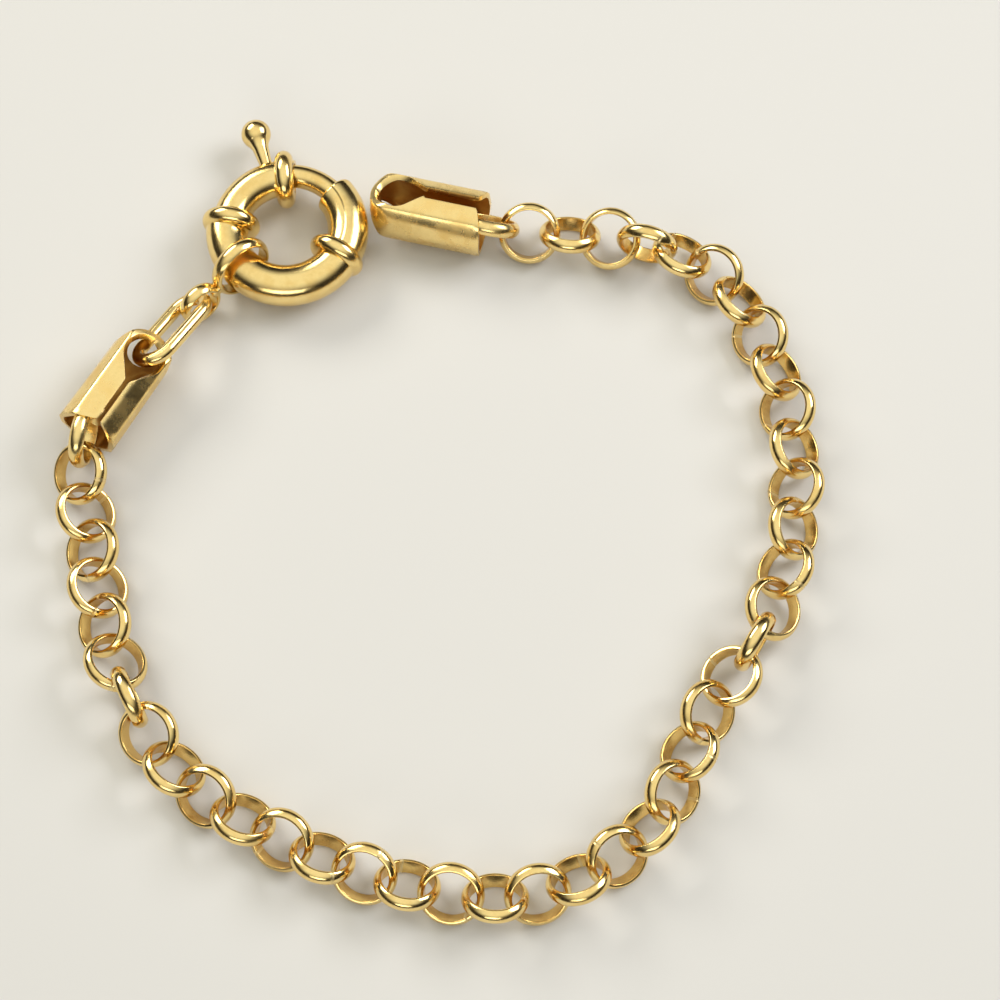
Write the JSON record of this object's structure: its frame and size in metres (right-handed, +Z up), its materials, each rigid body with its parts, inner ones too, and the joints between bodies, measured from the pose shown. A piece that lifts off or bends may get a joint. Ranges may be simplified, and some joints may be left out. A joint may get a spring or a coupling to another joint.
{
  "type": "link bracelet",
  "caption": "Open link bracelet of round interlocking belcher links, with teardrop-holed end caps, an oval and a figure-eight link and a large ring clasp with a sprung ball-ended bolt.",
  "frame": {"origin": "centre of the bracelet's plan box on the surface it lies on", "axes": "+Z up from the surface; +Y away from the viewer of the picture, toward the clasp; +X to the viewer's right"},
  "size_m": [0.0608, 0.0668, 0.0054],
  "materials": {
    "gold": "polished"
  },
  "bodies": {
    "bracelet": {"link_01": "gold", "link_02": "gold", "link_03": "gold", "link_04": "gold", "link_05": "gold", "link_06": "gold", "link_07": "gold", "link_08": "gold", "link_09": "gold", "link_10": "gold", "link_11": "gold", "link_12": "gold", "link_13": "gold", "link_14": "gold", "link_15": "gold", "link_16": "gold", "link_17": "gold", "link_18": "gold", "link_19": "gold", "link_20": "gold", "link_21": "gold", "link_22": "gold", "link_23": "gold", "link_24": "gold", "link_25": "gold", "link_26": "gold", "link_27": "gold", "link_28": "gold", "link_29": "gold", "link_30": "gold", "link_31": "gold", "link_32": "gold", "link_33": "gold", "link_34": "gold", "link_35": "gold", "link_36": "gold", "link_37": "gold", "link_38": "gold", "link_39": "gold", "link_40": "gold", "link_41": "gold", "clasp_ring": "gold", "figure_eight_link": "gold", "oval_link": "gold", "clasp_end_cap": "gold", "free_end_cap": "gold"},
    "gate": {"clasp_gate": "gold"}
  },
  "joints": [
    {"name": "gate_slide", "type": "hinge", "parent": "bracelet", "child": "gate", "pos_m": [-0.01241, 0.02337, 0.00237], "axis": [0, 0, 1], "range_deg": [0, 40], "stiffness_Nm_per_rad": 0.002, "springref_deg": -28.65}
  ]
}
